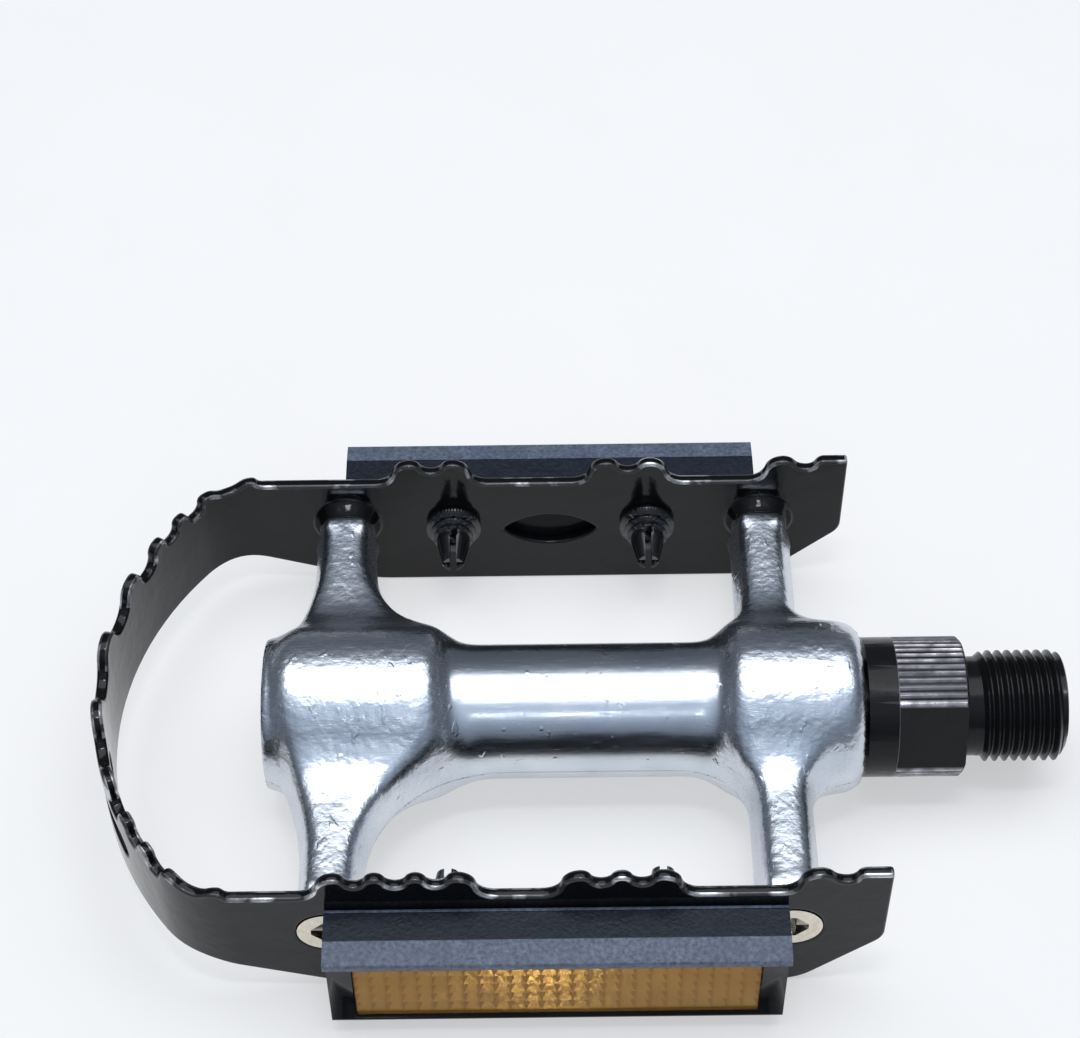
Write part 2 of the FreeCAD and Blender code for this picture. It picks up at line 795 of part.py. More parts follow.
def cage_shape():
    shape = strip_blank()
    for x, side in arm_ends():
        top = screw_head_diameter / 2 + dimple_wall
        start = Vector(x, side * (inner_face + strip / 2), arm_rise)
        height = strip / 2 + dimple_depth
        shape = shape.fuse(Part.makeCone(top, top - dimple_taper, height, start, Vector(0, -side, 0)))
    cutters = [
        above_teeth(front_group_starts, front_group_counts, front_pitch, -1),
        above_teeth(rear_group_starts, rear_group_counts, rear_pitch, 1)]
    cutters += bend_gaps()
    cutters += [below_strip(), bend_slot(), eye_hole(), keyhole()]
    for x, side in peg_places():
        start = Vector(x, side * (half_width + strip), peg_level)
        hole = peg_diameter / 2 + peg_clearance
        cutters.append(Part.makeCylinder(hole, 3 * strip, start, Vector(0, -side, 0)))
    for x, side in arm_ends():
        start = Vector(x, side * half_width, arm_rise)
        inward = Vector(0, -side, 0)
        hole = screw_diameter / 2 + screw_clearance
        head = screw_head_diameter / 2 + screw_clearance
        cutters.append(Part.makeCylinder(hole, strip + dimple_depth + cut_spare, start, inward))
        cutters.append(Part.makeCone(head, hole, head - hole, start, inward))
    for cutter in cutters:
        shape = shape.cut(cutter)
    return shape.removeSplitter()


# Cage screws: countersunk, with a cross recess
def screw_shape(x, side):
    head = screw_head_diameter / 2
    shank = screw_diameter / 2
    chain = [
        (0, 0), (0, head), (-screw_seat_depth(), shank), (-screw_length + shank / 2, shank),
        (-screw_length, shank / 2), (-screw_length, 0)]
    screw = turned_points(chain)
    depths = (-cross_depth, cut_spare)
    across = (-cross_width / 2, cross_width / 2)
    along = (-cross_length / 2, cross_length / 2)
    screw = screw.cut(box(depths, along, across).fuse(box(depths, across, along)))
    screw.rotate(Vector(0, 0, 0), Vector(0, 0, 1), side * 90)
    screw.translate(Vector(x, side * half_width, arm_rise))
    return screw


# Reflectors: a housing with a visor and two split pegs, and a lens in its pocket
def housing_shape(side):
    def at_side(out, z):
        return Vector(0, side * (half_width + out), z)

    def along_x(edges, length):
        prism = face_of(edges).extrude(Vector(length, 0, 0))
        prism.translate(Vector(reflector_x - length / 2, 0, 0))
        return prism

    visor_top = housing_top - visor_drop
    visor_low = visor_top - visor_lip
    case = along_x(rounded_edges(at_side, [
        (0, housing_bottom, housing_round), (box_reach, housing_bottom, housing_round),
        (box_reach, visor_top - visor_lip / 2, 0), (0, visor_top - visor_lip / 2, 0)]), box_length)
    visor = along_x(rounded_edges(at_side, [
        (0, lens_top, 0), (box_reach - lens_recess, lens_top, 0), (visor_reach, visor_low, 0),
        (visor_reach, visor_top, visor_round), (crease_reach, housing_top, housing_round),
        (0, housing_top, housing_round)]), visor_length)
    shape = case.fuse(visor)
    shape = shape.cut(lens_block(side, lens_clearance, 2 * visor_reach))
    for sign in (-1, 1):
        peg = peg_shape()
        peg.rotate(Vector(0, 0, 0), Vector(0, 0, 1), -side * 90)
        peg.translate(Vector(reflector_x + sign * peg_spacing / 2, side * half_width, peg_level))
        shape = shape.fuse(peg)
    return shape.removeSplitter()


def peg_shape():
    """Split barbed peg along +X from the housing's back: shank, ring, ribs and tapered tip."""
    shank = peg_diameter / 2
    rib = peg_rib_diameter / 2
    x = strip
    chain = [(-housing_round, 0), (-housing_round, shank), (x, shank), (x, peg_ring_diameter / 2)]
    x += peg_ring_height
    chain += [(x, peg_ring_diameter / 2), (x, shank)]
    for index in range(peg_rib_count):
        x += peg_rib_gap
        chain += [(x, shank), (x, rib - index * peg_rib_step)]
        x += peg_rib_height
        chain += [(x, rib - index * peg_rib_step), (x, shank)]
    tip_start = x + peg_rib_gap
    tip_end = tip_start + peg_tip_length
    chain += [(tip_start, shank), (tip_end, peg_tip_diameter / 2), (tip_end, 0)]
    peg = turned_points(chain)
    reach = (x, tip_end + cut_spare)
    across = (-peg_slit / 2, peg_slit / 2)
    along = (-peg_diameter, peg_diameter)
    return peg.cut(box(reach, across, along).fuse(box(reach, along, across)))


def lens_block(side, grow, thickness):
    back = half_width + box_reach - lens_recess - lens_thickness - grow
    y_range = sorted((side * back, side * (back + thickness)))
    half = lens_length / 2 + grow
    return box((reflector_x - half, reflector_x + half), y_range, (lens_bottom - grow, lens_top + grow))


def lens_shape(side):
    lens = lens_block(side, 0, lens_thickness)
    front_y = side * (half_width + box_reach - lens_recess)
    rim = [edge for edge in lens.Edges if abs(edge.CenterOfMass.y - front_y) < lens_round / 2]
    return lens.makeFillet(lens_round, rim)


os.makedirs("parts", exist_ok=True)
save(body_shape(), "body")
save(cage_shape(), "cage")
save(Part.makeCompound([screw_shape(x, side) for x, side in arm_ends()]), "cage_screws")
for side_name, side_sign in (("front", -1), ("rear", 1)):
    save(housing_shape(side_sign), side_name + "_reflector_housing")
    save(lens_shape(side_sign), side_name + "_reflector_lens")
save(spindle_shape(), "spindle")
save(cup_shape(inboard_ball_x, inboard_pitch_radius, 1), "inboard_cup")
save(cup_shape(outboard_ball_x, outboard_pitch_radius, -1), "outboard_cup")
for end_name, ball_x, pitch, number in (
        ("inboard", inboard_ball_x, inboard_pitch_radius, inboard_ball_count),
        ("outboard", outboard_ball_x, outboard_pitch_radius, outboard_ball_count)):
    for index, ball in enumerate(ball_shapes(ball_x, pitch, number)):
        save(ball, "%s_ball_%02d" % (end_name, index + 1))
save(adjusting_cone_shape(), "adjusting_cone")
save(lock_washer_shape(), "lock_washer")
save(locknut_shape(), "locknut")
save(dust_cap_shape(), "dust_cap")
save(seal_shape(), "inboard_seal")
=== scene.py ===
# %% [markdown]
# # A bicycle cage pedal, dressed
# The pedal's pieces come in at their real size and place, in metres: a cast body in a toothed steel
# cage, two reflectors, and a spindle on two rings of balls. They could all be drawn again here, but
# the solids are right already, so this lesson keeps their shapes and gives them what the solids
# lack: soft edges, a parting line, a cut thread, lens prisms and finishes. X runs along the spindle
# towards the crank, Y to the rear and Z up.

# %% Load the pedal
import math

import bmesh
import bpy
from mathutils import Matrix, Vector


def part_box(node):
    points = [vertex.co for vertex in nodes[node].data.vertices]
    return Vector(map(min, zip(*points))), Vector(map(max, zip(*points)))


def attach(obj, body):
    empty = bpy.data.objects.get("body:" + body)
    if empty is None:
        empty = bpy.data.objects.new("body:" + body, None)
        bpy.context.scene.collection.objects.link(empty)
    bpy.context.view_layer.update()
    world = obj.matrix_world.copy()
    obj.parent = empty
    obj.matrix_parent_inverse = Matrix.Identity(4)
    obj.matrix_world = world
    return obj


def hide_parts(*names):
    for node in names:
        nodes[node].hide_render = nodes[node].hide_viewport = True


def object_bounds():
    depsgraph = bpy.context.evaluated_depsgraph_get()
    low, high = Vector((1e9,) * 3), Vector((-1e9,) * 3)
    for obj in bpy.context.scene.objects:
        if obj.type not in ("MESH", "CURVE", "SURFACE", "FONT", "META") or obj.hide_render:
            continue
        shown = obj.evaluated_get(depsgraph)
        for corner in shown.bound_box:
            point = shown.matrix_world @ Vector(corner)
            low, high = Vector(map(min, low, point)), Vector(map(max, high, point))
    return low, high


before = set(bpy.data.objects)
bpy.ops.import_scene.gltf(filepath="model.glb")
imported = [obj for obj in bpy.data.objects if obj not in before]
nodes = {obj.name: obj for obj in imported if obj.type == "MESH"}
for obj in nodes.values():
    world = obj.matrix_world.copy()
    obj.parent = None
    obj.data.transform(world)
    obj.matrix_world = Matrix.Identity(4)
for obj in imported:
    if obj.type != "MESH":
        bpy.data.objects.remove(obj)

MM = 0.001
scene = bpy.context.scene
cad_box = [list(corner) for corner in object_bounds()]


def in_mm(box):
    return [[round(value / MM, 2) for value in corner] for corner in box]


print("nodes", len(nodes), "box in mm", in_mm(cad_box))

# %% [markdown]
# ## Camera
# The pedal was seen from the front and above, with a long lens. A camera could be aimed with a
# constraint, but a plain rotation matrix is exact: its columns are the picture's right, its up, and
# the way back to the viewer.

# %% Camera
CAMERA_PLACE = Vector((-53.74, -194.58, 270.38)) * MM
CAMERA_ELEVATION = math.radians(50)
CAMERA_ROLL = math.radians(0.69)
SENSOR_WIDTH = 36.0
PICTURE_WIDTH = 1080
FOCAL_PIXELS = 2576
NEAR_CLIP = 10 * MM

view_direction = Vector((0, math.cos(CAMERA_ELEVATION), -math.sin(CAMERA_ELEVATION)))
level_right = Vector((1, 0, 0))
level_up = level_right.cross(view_direction)
camera_right = level_right * math.cos(CAMERA_ROLL) - level_up * math.sin(CAMERA_ROLL)
camera_up = level_right * math.sin(CAMERA_ROLL) + level_up * math.cos(CAMERA_ROLL)
camera_data = bpy.data.cameras.new("camera")
camera_data.sensor_width = SENSOR_WIDTH
camera_data.lens = SENSOR_WIDTH * FOCAL_PIXELS / PICTURE_WIDTH
camera_data.clip_start = NEAR_CLIP
camera = bpy.data.objects.new("camera", camera_data)
scene.collection.objects.link(camera)
camera_turn = Matrix((camera_right, camera_up, -view_direction)).transposed()
camera.matrix_world = Matrix.Translation(CAMERA_PLACE) @ camera_turn.to_4x4()
scene.camera = camera
print("lens", round(camera_data.lens, 2), "mm")

# %% [markdown]
# ## Small helpers
# Every finish is a small tree of shader nodes. A few helpers keep the recipes short: one adds a
# node and sets or links its sockets, and others name what comes back again and again, such as a
# spread of values, a mix of two colours, a mask by place or a bump.

# %% Node helpers
def plug(tree, socket, value):
    if isinstance(value, bpy.types.NodeSocket):
        tree.links.new(value, socket)
    else:
        socket.default_value = value


def add_node(tree, kind, **sockets):
    made = tree.nodes.new("ShaderNode" + kind)
    for name, value in sockets.items():
        plug(tree, made.inputs[name], value)
    return made


def new_finish(name):
    material = bpy.data.materials.new(name)
    material.use_nodes = True
    tree = material.node_tree
    place = add_node(tree, "TexCoord").outputs["Object"]
    return material, tree, tree.nodes["Principled BSDF"], place


def feed(tree, shader, **sockets):
    for name, value in sockets.items():
        plug(tree, shader.inputs[name.replace("_", " ")], value)


def stretched(tree, place, scale, turn=(0, 0, 0)):
    return add_node(tree, "Mapping", Vector=place, Scale=scale, Rotation=turn).outputs["Vector"]


def grain(tree, place, scale, detail=2.0, rough=0.5):
    made = add_node(tree, "TexNoise", Vector=place, Scale=scale, Detail=detail, Roughness=rough)
    return made.outputs["Fac"]


def spread(tree, value, low, high, start=0.3, end=0.7):
    made = add_node(tree, "MapRange", Value=value)
    for name, number in (("From Min", start), ("From Max", end), ("To Min", low), ("To Max", high)):
        made.inputs[name].default_value = number
    return made.outputs["Result"]


def figure(tree, operation, first, second):
    made = tree.nodes.new("ShaderNodeMath")
    made.operation = operation
    plug(tree, made.inputs[0], first)
    plug(tree, made.inputs[1], second)
    return made.outputs["Value"]


def from_spindle(tree, place):
    across = stretched(tree, place, (0, 1, 1))
    length = tree.nodes.new("ShaderNodeVectorMath")
    length.operation = "LENGTH"
    tree.links.new(across, length.inputs[0])
    return length.outputs["Value"]


def two_tone(tree, share, first, second):
    ramp = add_node(tree, "ValToRGB", Fac=share)
    ramp.color_ramp.elements[0].color = (*first, 1)
    ramp.color_ramp.elements[1].color = (*second, 1)
    return ramp.outputs["Color"]


def bump(tree, height, distance, under=None):
    made = add_node(tree, "Bump", Height=height, Distance=distance)
    if under is not None:
        tree.links.new(under, made.inputs["Normal"])
    return made.outputs["Normal"]


print("helpers ready")

# %% [markdown]
# ## Finishes
# The body is an aluminium casting that was tumbled until it shone. Its proud bosses took the
# knocks, so they are dull and crinkled with small dents, and the barrel between them is smoother,
# with only fine lines and a few nicks. A mask on the distance from the spindle tells the two apart;
# noise, stretched for the lines, gives the marks.

# %% Tumbled aluminium
BARREL_RADIUS = 8.7 * MM
BARREL_MARGIN = 0.4 * MM
BOSS_RADIUS = 11.4 * MM
BOSS_MARGIN = 1.2 * MM


def make_tumbled_aluminium():
    material, tree, shader, place = new_finish("tumbled_aluminium")
    reach = from_spindle(tree, place)
    proud = spread(tree, reach, 0.1, 1.0, BARREL_RADIUS + BARREL_MARGIN, BOSS_RADIUS - BOSS_MARGIN)
    cloud = grain(tree, place, 160, 3.0)
    dents = grain(tree, place, 820, 2.0, 0.5)
    lines = grain(tree, stretched(tree, place, (240, 3600, 3600)), 1.0, 3.0)
    specks = grain(tree, stretched(tree, place, (760, 420, 600), (0.3, 0, 0.7)), 1.0, 1.5)
    nicks = spread(tree, specks, 0, 1, 0.66, 0.74)
    colour = two_tone(tree, spread(tree, cloud, 0, 1), (0.56, 0.61, 0.68), (0.68, 0.72, 0.78))
    roughness = spread(tree, lines, 0.19, 0.27)
    roughness = figure(tree, "ADD", roughness, figure(tree, "MULTIPLY", proud, 0.06))
    relief = bump(tree, figure(tree, "MULTIPLY", dents, proud), 0.11 * MM)
    relief = bump(tree, lines, 0.006 * MM, relief)
    relief = bump(tree, nicks, 0.04 * MM, relief)
    feed(tree, shader, Base_Color=colour, Metallic=1.0, Roughness=roughness, Normal=relief)
    return material


tumbled_aluminium = make_tumbled_aluminium()
print("made", tumbled_aluminium.name)

# %% [markdown]
# The cage is pressed steel dipped in black enamel: nearly black, glossy, with the slow ripple of a
# thick coat and a little dust. Roughness and two shallow bumps carry that; the colour hardly
# changes. On the rounded top edges the coat is thin, and in patches pale steel shows: partly wear,
# partly painted glints. So the top edges get a second finish with a noise mask.

# %% Black enamel
def make_black_enamel():
    material, tree, shader, place = new_finish("black_enamel")
    ripple = grain(tree, place, 230, 2.0)
    peel = grain(tree, place, 1100, 2.0)
    dust = grain(tree, place, 2600, 3.0, 0.7)
    dusted = spread(tree, dust, 0, 1, 0.64, 0.82)
    colour = two_tone(tree, dusted, (0.0045, 0.0045, 0.005), (0.03, 0.03, 0.029))
    relief = bump(tree, ripple, 0.08 * MM)
    relief = bump(tree, peel, 0.012 * MM, relief)
    feed(tree, shader, Base_Color=colour, Roughness=spread(tree, ripple, 0.07, 0.13), Normal=relief)
    feed(tree, shader, Specular_IOR_Level=0.25)
    return material


def make_thin_enamel_and_glint():
    material, tree, shader, place = new_finish("thin_enamel_and_glint")
    patch = grain(tree, place, 260, 3.0)
    # The pale metal patches are partly worn-through steel and partly painted glints.
    bare_and_glint = spread(tree, patch, 0.03, 0.9, 0.52, 0.66)
    colour = two_tone(tree, bare_and_glint, (0.012, 0.012, 0.013), (0.72, 0.72, 0.74))
    feed(tree, shader, Base_Color=colour, Metallic=bare_and_glint, Roughness=spread(tree, patch, 0.16, 0.3))
    feed(tree, shader, Normal=bump(tree, patch, 0.03 * MM))
    return material


black_enamel = make_black_enamel()
thin_enamel_and_glint = make_thin_enamel_and_glint()
print("made", black_enamel.name, thin_enamel_and_glint.name)

# %% [markdown]
# The spindle is blackened steel. Turning leaves fine rings round the X axis, so its grain is noise
# squeezed along X. On the flutes the crests are pale and metallic: partly black worn thin, partly a
# painted highlight. The distance from the axis finds the crests, and a limit along X keeps this off
# the plain ring beside them.

# %% Blackened steel
COLLAR_RADIUS = 9.0 * MM
CREST_BAND = 0.3 * MM
FLUTES_START = -8.8 * MM
FLUTE_BLEND = 0.1 * MM


def make_blackened_steel():
    material, tree, shader, place = new_finish("blackened_steel")
    rings = grain(tree, stretched(tree, place, (7000, 150, 150)), 1.0, 2.0)
    blotch = grain(tree, place, 600, 3.0)
    along = add_node(tree, "SeparateXYZ", Vector=place).outputs["X"]
    fluted = spread(tree, along, 0, 1, FLUTES_START - FLUTE_BLEND, FLUTES_START + FLUTE_BLEND)
    crest = spread(tree, from_spindle(tree, place), 0, 1, COLLAR_RADIUS - CREST_BAND, COLLAR_RADIUS)
    crest_wear_and_highlight = figure(tree, "MULTIPLY", crest, fluted)
    worn_and_highlight = figure(tree, "MULTIPLY", crest_wear_and_highlight, spread(tree, blotch, 0.3, 1.0))
    # Pale lilac crest colour: partly wear, partly painted highlight.
    colour = two_tone(tree, worn_and_highlight, (0.008, 0.008, 0.009), (0.62, 0.60, 0.66))
    roughness = spread(tree, blotch, 0.14, 0.28)
    feed(tree, shader, Base_Color=colour, Metallic=worn_and_highlight, Roughness=roughness)
    feed(tree, shader, Normal=bump(tree, rings, 0.01 * MM), Specular_IOR_Level=0.2)
    return material


blackened_steel = make_blackened_steel()
print("made", blackened_steel.name)

# %% [markdown]
# A reflector's housing is one moulding in four finishes. The visor has the grain of a spark-eroded
# mould and looks slate blue. Its slope is painted lighter, a painted light, and its level top darker,
# a painted shade, for how the light falls on them. The box round the lens is smooth and black, and
# the pegs came from a polished part of the mould and shine.

# %% Grained and smooth plastic
def make_grained_plastic(name, dark, light):
    material, tree, shader, place = new_finish(name)
    pits = grain(tree, place, 1900, 3.0, 0.65)
    patch = grain(tree, place, 320, 2.0)
    tone = figure(tree, "MULTIPLY", spread(tree, pits, 0, 1), spread(tree, patch, 0.5, 1.0))
    roughness = spread(tree, patch, 0.34, 0.46)
    feed(tree, shader, Base_Color=two_tone(tree, tone, dark, light), Roughness=roughness)
    feed(tree, shader, Normal=bump(tree, pits, 0.1 * MM), Specular_IOR_Level=0.24)
    return material


def make_smooth_plastic(name, shine):
    material, tree, shader, place = new_finish(name)
    flow = grain(tree, stretched(tree, place, (140, 420, 420)), 1.0, 2.0)
    colour = two_tone(tree, spread(tree, flow, 0, 1), (0.006, 0.006, 0.007), (0.011, 0.011, 0.013))
    feed(tree, shader, Base_Color=colour, Roughness=spread(tree, flow, 0.10, 0.20))
    feed(tree, shader, Normal=bump(tree, flow, 0.03 * MM), Specular_IOR_Level=shine)
    return material


# The slope's lighter blue is painted light and the level top's darker blue is painted shade; the grain
# is the mould's own.
slope_painted_light_plastic = make_grained_plastic("slope_painted_light_plastic", (0.058, 0.074, 0.108), (0.190, 0.226, 0.300))
top_painted_shade_plastic = make_grained_plastic("top_painted_shade_plastic", (0.004, 0.007, 0.014), (0.014, 0.021, 0.038))
smooth_plastic = make_smooth_plastic("smooth_plastic", 0.08)
glossy_plastic = make_smooth_plastic("glossy_plastic", 0.6)
print("made", slope_painted_light_plastic.name, top_painted_shade_plastic.name, smooth_plastic.name, glossy_plastic.name)

# %% [markdown]
# The amber reflector is a clear moulding over a sheet of tiny prisms. The pane in front is thin and
# tinted, and the prisms behind it are bright facets of real geometry, a little uneven, so some of
# them sparkle and most stay brown, as on the real lens. Their amber is mottled between a deeper and
# a brighter tone: partly random tone, partly painted sparkle.

# %% Amber pane and prisms
def make_amber_pane():
    material, tree, shader, place = new_finish("amber_pane")
    haze = grain(tree, place, 900, 3.0)
    roughness = spread(tree, haze, 0.05, 0.12)
    feed(tree, shader, Base_Color=(0.50, 0.25, 0.05, 1), Roughness=roughness, Alpha=0.36)
    feed(tree, shader, Normal=bump(tree, haze, 0.02 * MM), Specular_IOR_Level=0.3)
    return material


def make_amber_prisms():
    material, tree, shader, place = new_finish("amber_prisms")
    mottle = grain(tree, place, 380, 3.0)
    uneven = grain(tree, place, 1300, 1.0)
    # Brighter amber patches: partly random tone, partly painted sparkle.
    colour = two_tone(tree, spread(tree, mottle, 0, 1), (0.80, 0.42, 0.075), (0.95, 0.58, 0.12))
    feed(tree, shader, Base_Color=colour, Metallic=0.6, Roughness=spread(tree, mottle, 0.08, 0.16))
    feed(tree, shader, Normal=bump(tree, uneven, 0.012 * MM))
    return material


amber_pane = make_amber_pane()
amber_prisms = make_amber_prisms()
print("made", amber_pane.name, amber_prisms.name)

# %% [markdown]
# The small metal finishes share one recipe: a metal colour with a fine mottle, and a grain that
# breaks up the shine. Nickel screws are warm and pale, bearing steel is grey and oily. The seal is
# rubber, with no metal.

# %% Nickel, bearing steel and rubber
def make_fine_metal(name, dark, light, smooth, rough, scale):
    material, tree, shader, place = new_finish(name)
    mottle = grain(tree, place, scale, 3.0)
    colour = two_tone(tree, spread(tree, mottle, 0, 1), dark, light)
    feed(tree, shader, Base_Color=colour, Metallic=1.0, Roughness=spread(tree, mottle, smooth, rough))
    feed(tree, shader, Normal=bump(tree, mottle, 0.02 * MM))
    return material


def make_rubber():
    material, tree, shader, place = new_finish("seal_rubber")
    mottle = grain(tree, place, 1500, 3.0)
    colour = two_tone(tree, spread(tree, mottle, 0, 1), (0.012, 0.012, 0.012), (0.03, 0.03, 0.03))
    feed(tree, shader, Base_Color=colour, Roughness=spread(tree, mottle, 0.6, 0.8))
    feed(tree, shader, Normal=bump(tree, mottle, 0.06 * MM))
    return material


nickel_plate = make_fine_metal("nickel_plate", (0.66, 0.60, 0.49), (0.84, 0.79, 0.68), 0.24, 0.38, 1300)
bearing_steel = make_fine_metal("bearing_steel", (0.42, 0.43, 0.44), (0.58, 0.59, 0.60), 0.18, 0.34, 800)
seal_rubber = make_rubber()
print("made", nickel_plate.name, bearing_steel.name, seal_rubber.name)

# %% [markdown]
# ## Pieces from the solids
# A solid arrives as loose triangles. A copy with its doubles merged is a closed skin that modifiers
# can work on, and the copy then stands for the solid. One helper makes the copy and another turns
# any finished bmesh into a piece with its finish and its body, and hides the solid it stands for.

# %% Piece helpers
JOIN_DISTANCE = 0.001 * MM
FLAT_TURN = math.radians(1)
CREASE = math.radians(30)
EDGE_SEGMENTS = 3


def merged_copy(name):
    work = bmesh.new()
    work.from_mesh(nodes[name].data)
    bmesh.ops.remove_doubles(work, verts=work.verts, dist=JOIN_DISTANCE)
    return work


def piece_from(work, name, materials, body, stands_for):
    mesh = bpy.data.meshes.new(name)
    work.to_mesh(mesh)
    work.free()
    for material in materials:
        mesh.materials.append(material)
    mesh.shade_smooth()
    piece = bpy.data.objects.new(name, mesh)
    scene.collection.objects.link(piece)
    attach(piece, body)
    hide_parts(stands_for)
    print(name, len(mesh.polygons), "faces")
    return piece


def round_edges(work, edges, width):
    made = bmesh.ops.bevel(work, geom=edges, offset=width, offset_type="OFFSET", segments=EDGE_SEGMENTS,
                           profile=0.5, affect="EDGES", material=-1, clamp_overlap=False)
    return made["faces"]


def soften_edges(work, width):
    """Joins flat triangles, then rounds every edge that turns by more than a crease."""
    bmesh.ops.dissolve_limit(work, angle_limit=FLAT_TURN, verts=work.verts, edges=work.edges)
    sharp = [edge for edge in work.edges if edge.calc_face_angle(0) > CREASE]
    return round_edges(work, sharp, width)


def even_shading(piece, crease=None):
    """Lets the large faces rule the shading; with a crease, edges that turn by more stay crisp."""
    if crease is not None:
        piece.data.set_sharp_from_angle(angle=crease)
    modifier = piece.modifiers.new("even shading", "WEIGHTED_NORMAL")
    modifier.keep_sharp = True


def cut_all(work, place, normal, clear=False):
    everything = work.verts[:] + work.edges[:] + work.faces[:]
    bmesh.ops.bisect_plane(work, geom=everything, plane_co=place, plane_no=normal, clear_outer=clear)


print("piece helpers ready")

# %% [markdown]
# ## Cast body
# Tumbling rubs every edge of the casting round. Bevels would need clean edges, which a blend of
# curved surfaces doesn't have, so the copy is remeshed into small even cells and smoothed: it comes
# out like a pebble would. Where nothing is seated it is smoothed for longer, so that posts, bosses
# and barrel flow into each other, while the bearing seats and the ends of the posts keep their
# size. The two halves of the mould leave a thin line all round: three level cuts make room for it,
# and the points on the middle cut then go in by a hair.

# %% Cast body
BODY_CELL = 0.42 * MM
SMOOTH_FACTOR = 0.5
BODY_SMOOTH_STEPS = 6
RUB_STEPS = 44
BARREL_SKIN = 0.5 * MM
SEAT_RADIUS = 9.9 * MM
SEAT_LENGTH = 15.0 * MM
POST_END = 1.6 * MM
PARTING_LEVEL = -1.6 * MM
PARTING_HALF_WIDTH = 0.16 * MM
PARTING_DEPTH = 0.16 * MM
ON_LINE = 0.001 * MM


def tumbled_skin():
    rough = bpy.data.meshes.new("body_copy")
    work = merged_copy("body")
    work.to_mesh(rough)
    work.free()
    blank = bpy.data.objects.new("body_copy", rough)
    scene.collection.objects.link(blank)
    remesh = blank.modifiers.new("even cells", "REMESH")
    remesh.mode = "VOXEL"
    remesh.voxel_size = BODY_CELL
    smooth = blank.modifiers.new("tumble", "SMOOTH")
    smooth.iterations = BODY_SMOOTH_STEPS
    smooth.factor = SMOOTH_FACTOR
    skin = bmesh.new()
    skin.from_object(blank, bpy.context.evaluated_depsgraph_get())
    bpy.data.objects.remove(blank)
    bpy.data.meshes.remove(rough)
    return skin


def rub_down(skin):
    low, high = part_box("body")
    loose = []
    for vert in skin.verts:
        seated = vert.co.x < low.x + SEAT_LENGTH or vert.co.x > high.x - SEAT_LENGTH
        core = SEAT_RADIUS if seated else BARREL_RADIUS - BARREL_SKIN
        if math.hypot(vert.co.y, vert.co.z) > core and abs(vert.co.y) < high.y - POST_END:
            loose.append(vert)
    for step in range(RUB_STEPS):
        bmesh.ops.smooth_vert(skin, verts=loose, factor=SMOOTH_FACTOR, use_axis_x=True,
                              use_axis_y=True, use_axis_z=True)
    print("rubbed points", len(loose), "of", len(skin.verts))


def make_cast_body():
    skin = tumbled_skin()
    rub_down(skin)
    for shift in (-PARTING_HALF_WIDTH, 0, PARTING_HALF_WIDTH):
        cut_all(skin, (0, 0, PARTING_LEVEL + shift), (0, 0, 1))
    skin.normal_update()
    line = [vert for vert in skin.verts if abs(vert.co.z - PARTING_LEVEL) < ON_LINE]
    for vert in line:
        vert.co -= vert.normal * PARTING_DEPTH
    print("parting line points", len(line))
    piece_from(skin, "cast_body", [tumbled_aluminium], "pedal_body", "body")


make_cast_body()

# %% [markdown]
# ## Cage
# Enamel draws back from sharp edges and leaves them round, and those round edges catch the light in
# thin lines. The plates must stay flat, so here a bevel is right: only the edges change.

# %% Toothed cage
CAGE_EDGE = 0.4 * MM
TOP_EDGE_LEVEL = 6.5 * MM


def make_cage():
    work = merged_copy("cage")
    finishes = [black_enamel, thin_enamel_and_glint]
    for face in soften_edges(work, CAGE_EDGE):
        # Faces on the top edges take the thin enamel, whose pale patches are partly wear and partly
        # painted glints.
        if face.calc_center_median().z > TOP_EDGE_LEVEL:
            face.material_index = finishes.index(thin_enamel_and_glint)
    even_shading(piece_from(work, "toothed_cage", finishes, "pedal_body", "cage"))


make_cage()

# %% [markdown]
# ## Reflectors
# Each housing keeps its solid's form, with crisp moulded edges. Its faces are shared between the
# plastics by their place: the grain belongs to what stands above the lens, outside the cage, and
# the shine to the pegs inside it. Above the lens the level top takes the darker grained plastic, a
# painted shade, and the slope takes the lighter one, a painted light.

# %% Reflector housings
PLATE_MARGIN = 0.2 * MM
LEVEL_NORMAL = 0.995
HOUSING_FINISHES = [slope_painted_light_plastic, top_painted_shade_plastic, smooth_plastic, glossy_plastic]


def housing_finish(polygon, cage_face, lens_top):
    if abs(polygon.center.y) < cage_face - PLATE_MARGIN:
        return glossy_plastic
    if polygon.center.z < lens_top:
        return smooth_plastic
    # A level top face takes the darker plastic as painted shade; the slope takes the lighter one as
    # painted light.
    if polygon.normal.z > LEVEL_NORMAL:
        return top_painted_shade_plastic
    return slope_painted_light_plastic


def make_housing(side):
    node = side + "_reflector_housing"
    lens_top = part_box(side + "_reflector_lens")[1].z
    cage_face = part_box("cage")[1].y
    piece = piece_from(merged_copy(node), side + "_housing", HOUSING_FINISHES, "pedal_body",
                       node)
    for polygon in piece.data.polygons:
        finish = housing_finish(polygon, cage_face, lens_top)
        polygon.material_index = HOUSING_FINISHES.index(finish)
    even_shading(piece, CREASE)


make_housing("front")
make_housing("rear")

# %% [markdown]
# The lens is new: a thin pane, and behind it a block whose front is a sheet of square cells pushed
# in to make prisms. A grid with each face poked gives all the cells in two operators, and its rim,
# extruded back and filled, closes the block.

# %% Reflector lenses
CELL = 1.9 * MM
PANE = 0.5 * MM
PANE_EDGE = 0.2 * MM
PANE_GAP = 0.05 * MM
PRISM_DEPTH = 1.45 * MM


